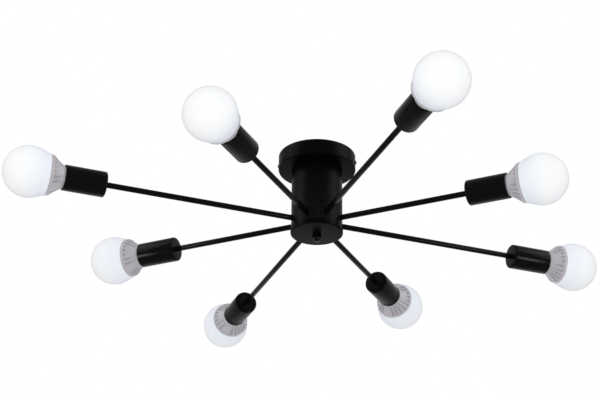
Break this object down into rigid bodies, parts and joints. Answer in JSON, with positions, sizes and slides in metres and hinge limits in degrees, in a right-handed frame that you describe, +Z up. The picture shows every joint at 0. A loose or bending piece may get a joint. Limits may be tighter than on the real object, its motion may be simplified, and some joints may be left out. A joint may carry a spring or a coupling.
{
  "type": "sputnik chandelier",
  "caption": "Black semi-flush ceiling light: a short column carries straight level arms of two alternating lengths, each ending in a cup lampholder with a screw-in globe bulb.",
  "frame": {"origin": "centre of the face that lies against the ceiling, on the column's axis", "axes": "+Z up into the ceiling, the column hanging along -Z; X runs through the two screws in the canopy's side and along the ceiling strap"},
  "size_m": [0.9026, 0.9026, 0.1575],
  "materials": {
    "black_powder_coat": "satin black powder coat, fine texture",
    "black_gloss": "gloss black",
    "black_screw": "black oxide",
    "zinc_steel": "bright zinc plate",
    "yellow_zinc": "yellow zinc plate",
    "white_nylon": "moulded, matt",
    "black_phenolic": "moulded, satin",
    "brass": "pressed sheet",
    "frosted_globe": "frosted opal, smooth",
    "grey_heatsink": "painted grey, satin",
    "nickel_base": "nickel plate",
    "contact_metal": "tinned"
  },
  "bodies": {
    "fixture": {"ceiling_strap": "zinc_steel", "canopy": "black_powder_coat", "canopy_screws": "black_screw", "column": "black_powder_coat", "bottom_cap": "black_powder_coat", "centre_rod": "yellow_zinc", "rod_nuts": "yellow_zinc", "cap_knob": "black_gloss", "terminal_block": "white_nylon", "arm_nuts": "zinc_steel", "lampholders": "black_phenolic", "socket_contacts": "brass", "arm_1": "black_powder_coat", "cup_1": "black_powder_coat", "arm_2": "black_powder_coat", "cup_2": "black_powder_coat", "arm_3": "black_powder_coat", "cup_3": "black_powder_coat", "arm_4": "black_powder_coat", "cup_4": "black_powder_coat", "arm_5": "black_powder_coat", "cup_5": "black_powder_coat", "arm_6": "black_powder_coat", "cup_6": "black_powder_coat", "arm_7": "black_powder_coat", "cup_7": "black_powder_coat", "arm_8": "black_powder_coat", "cup_8": "black_powder_coat"},
    "bulb_1_carrier": {"bulb_1_contact": "contact_metal"},
    "bulb_1": {"bulb_1_base": "nickel_base", "bulb_1_heatsink": "grey_heatsink", "bulb_1_globe": "frosted_globe"},
    "bulb_2_carrier": {"bulb_2_contact": "contact_metal"},
    "bulb_2": {"bulb_2_base": "nickel_base", "bulb_2_heatsink": "grey_heatsink", "bulb_2_globe": "frosted_globe"},
    "bulb_3_carrier": {"bulb_3_contact": "contact_metal"},
    "bulb_3": {"bulb_3_base": "nickel_base", "bulb_3_heatsink": "grey_heatsink", "bulb_3_globe": "frosted_globe"},
    "bulb_4_carrier": {"bulb_4_contact": "contact_metal"},
    "bulb_4": {"bulb_4_base": "nickel_base", "bulb_4_heatsink": "grey_heatsink", "bulb_4_globe": "frosted_globe"},
    "bulb_5_carrier": {"bulb_5_contact": "contact_metal"},
    "bulb_5": {"bulb_5_base": "nickel_base", "bulb_5_heatsink": "grey_heatsink", "bulb_5_globe": "frosted_globe"},
    "bulb_6_carrier": {"bulb_6_contact": "contact_metal"},
    "bulb_6": {"bulb_6_base": "nickel_base", "bulb_6_heatsink": "grey_heatsink", "bulb_6_globe": "frosted_globe"},
    "bulb_7_carrier": {"bulb_7_contact": "contact_metal"},
    "bulb_7": {"bulb_7_base": "nickel_base", "bulb_7_heatsink": "grey_heatsink", "bulb_7_globe": "frosted_globe"},
    "bulb_8_carrier": {"bulb_8_contact": "contact_metal"},
    "bulb_8": {"bulb_8_base": "nickel_base", "bulb_8_heatsink": "grey_heatsink", "bulb_8_globe": "frosted_globe"}
  },
  "joints": [
    {"name": "bulb_1_travel", "type": "slide", "parent": "fixture", "child": "bulb_1_carrier", "axis": [0.4664, -0.8846, 0], "range_m": [0, 0.0182]},
    {"name": "bulb_1_turn", "type": "hinge", "parent": "bulb_1_carrier", "child": "bulb_1", "pos_m": [0.19215, -0.36445, -0.1175], "axis": [0.4664, -0.8846, 0], "range_deg": [0, 1800]},
    {"name": "bulb_2_travel", "type": "slide", "parent": "fixture", "child": "bulb_2_carrier", "axis": [0.9553, -0.2957, 0], "range_m": [0, 0.0182]},
    {"name": "bulb_2_turn", "type": "hinge", "parent": "bulb_2_carrier", "child": "bulb_2", "pos_m": [0.30473, -0.09433, -0.1175], "axis": [0.9553, -0.2957, 0], "range_deg": [0, 1800]},
    {"name": "bulb_3_travel", "type": "slide", "parent": "fixture", "child": "bulb_3_carrier", "axis": [0.8846, 0.4664, 0], "range_m": [0, 0.0182]},
    {"name": "bulb_3_turn", "type": "hinge", "parent": "bulb_3_carrier", "child": "bulb_3", "pos_m": [0.36445, 0.19215, -0.1175], "axis": [0.8846, 0.4664, 0], "range_deg": [0, 1800]},
    {"name": "bulb_4_travel", "type": "slide", "parent": "fixture", "child": "bulb_4_carrier", "axis": [0.2957, 0.9553, 0], "range_m": [0, 0.0182]},
    {"name": "bulb_4_turn", "type": "hinge", "parent": "bulb_4_carrier", "child": "bulb_4", "pos_m": [0.09433, 0.30473, -0.1175], "axis": [0.2957, 0.9553, 0], "range_deg": [0, 1800]},
    {"name": "bulb_5_travel", "type": "slide", "parent": "fixture", "child": "bulb_5_carrier", "axis": [-0.4664, 0.8846, 0], "range_m": [0, 0.0182]},
    {"name": "bulb_5_turn", "type": "hinge", "parent": "bulb_5_carrier", "child": "bulb_5", "pos_m": [-0.19215, 0.36445, -0.1175], "axis": [-0.4664, 0.8846, 0], "range_deg": [0, 1800]},
    {"name": "bulb_6_travel", "type": "slide", "parent": "fixture", "child": "bulb_6_carrier", "axis": [-0.9553, 0.2957, 0], "range_m": [0, 0.0182]},
    {"name": "bulb_6_turn", "type": "hinge", "parent": "bulb_6_carrier", "child": "bulb_6", "pos_m": [-0.30473, 0.09433, -0.1175], "axis": [-0.9553, 0.2957, 0], "range_deg": [0, 1800]},
    {"name": "bulb_7_travel", "type": "slide", "parent": "fixture", "child": "bulb_7_carrier", "axis": [-0.8846, -0.4664, 0], "range_m": [0, 0.0182]},
    {"name": "bulb_7_turn", "type": "hinge", "parent": "bulb_7_carrier", "child": "bulb_7", "pos_m": [-0.36445, -0.19215, -0.1175], "axis": [-0.8846, -0.4664, 0], "range_deg": [0, 1800]},
    {"name": "bulb_8_travel", "type": "slide", "parent": "fixture", "child": "bulb_8_carrier", "axis": [-0.2957, -0.9553, 0], "range_m": [0, 0.0182]},
    {"name": "bulb_8_turn", "type": "hinge", "parent": "bulb_8_carrier", "child": "bulb_8", "pos_m": [-0.09433, -0.30473, -0.1175], "axis": [-0.2957, -0.9553, 0], "range_deg": [0, 1800]}
  ],
  "couplings": [
    {"joint": "bulb_1_travel", "follows": "bulb_1_turn", "m_per_rad": 0.0005775},
    {"joint": "bulb_2_travel", "follows": "bulb_2_turn", "m_per_rad": 0.0005775},
    {"joint": "bulb_3_travel", "follows": "bulb_3_turn", "m_per_rad": 0.0005775},
    {"joint": "bulb_4_travel", "follows": "bulb_4_turn", "m_per_rad": 0.0005775},
    {"joint": "bulb_5_travel", "follows": "bulb_5_turn", "m_per_rad": 0.0005775},
    {"joint": "bulb_6_travel", "follows": "bulb_6_turn", "m_per_rad": 0.0005775},
    {"joint": "bulb_7_travel", "follows": "bulb_7_turn", "m_per_rad": 0.0005775},
    {"joint": "bulb_8_travel", "follows": "bulb_8_turn", "m_per_rad": 0.0005775}
  ]
}
